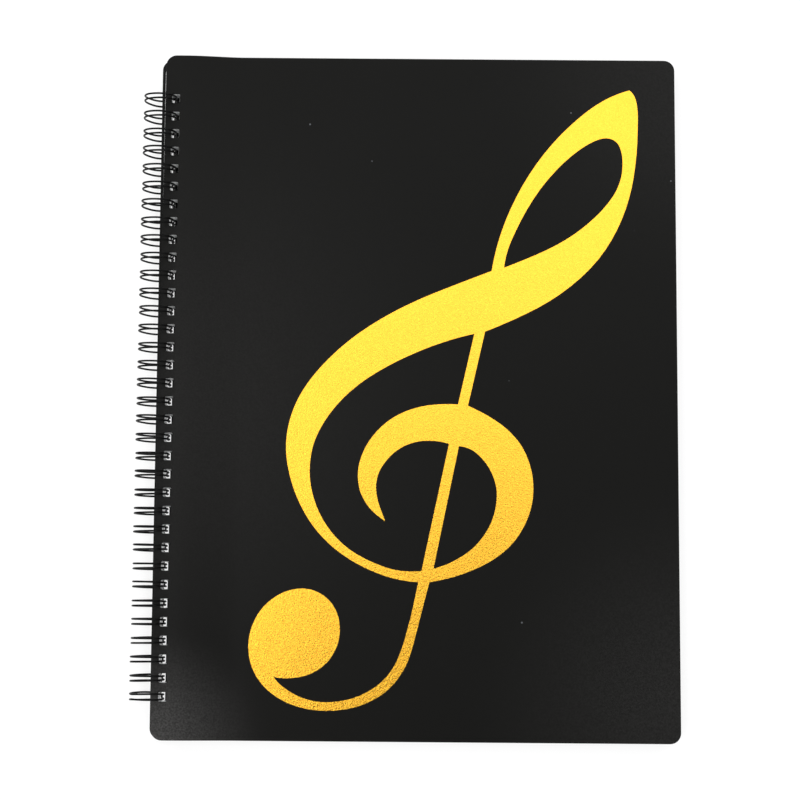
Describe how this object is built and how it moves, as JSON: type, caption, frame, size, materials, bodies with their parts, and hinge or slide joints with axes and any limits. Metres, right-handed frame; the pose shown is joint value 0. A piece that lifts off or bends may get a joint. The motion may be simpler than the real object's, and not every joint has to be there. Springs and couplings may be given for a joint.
{
  "type": "music folder",
  "caption": "Tall display folder for sheet music: plastic covers and clear pockets turn on a twin-loop wire along the spine, with a treble clef in foil on the front",
  "frame": {"origin": "middle of the folder's box, on the surface that it lies on", "axes": "+X from the rings to the fore edge, +Y along the spine to the head, +Z out of the front cover"},
  "size_m": [0.2513, 0.32, 0.0158],
  "materials": {
    "cover_plastic": "satin, fine grain",
    "clear_film": "clear, smooth",
    "gold_foil": "metallic foil, fine glitter grain",
    "black_wire": "nylon coated, semi-gloss"
  },
  "bodies": {
    "rings": {"binding_wire": "black_wire"},
    "back": {"back_cover": "cover_plastic"},
    "pages": {"clear_sleeves": "clear_film"},
    "front": {"front_cover": "cover_plastic", "clef_foil": "gold_foil"}
  },
  "joints": [
    {"name": "back_cover_hinge", "type": "hinge", "parent": "rings", "child": "back", "pos_m": [-0.1177, 0, 0.00795], "axis": [0, 1, 0], "range_deg": [0, 180]},
    {"name": "pages_hinge", "type": "hinge", "parent": "rings", "child": "pages", "pos_m": [-0.1177, 0, 0.00795], "axis": [0, -1, 0], "range_deg": [0, 180]},
    {"name": "front_cover_hinge", "type": "hinge", "parent": "pages", "child": "front", "pos_m": [-0.1177, 0, 0.00795], "axis": [0, -1, 0], "range_deg": [0, 180]}
  ]
}
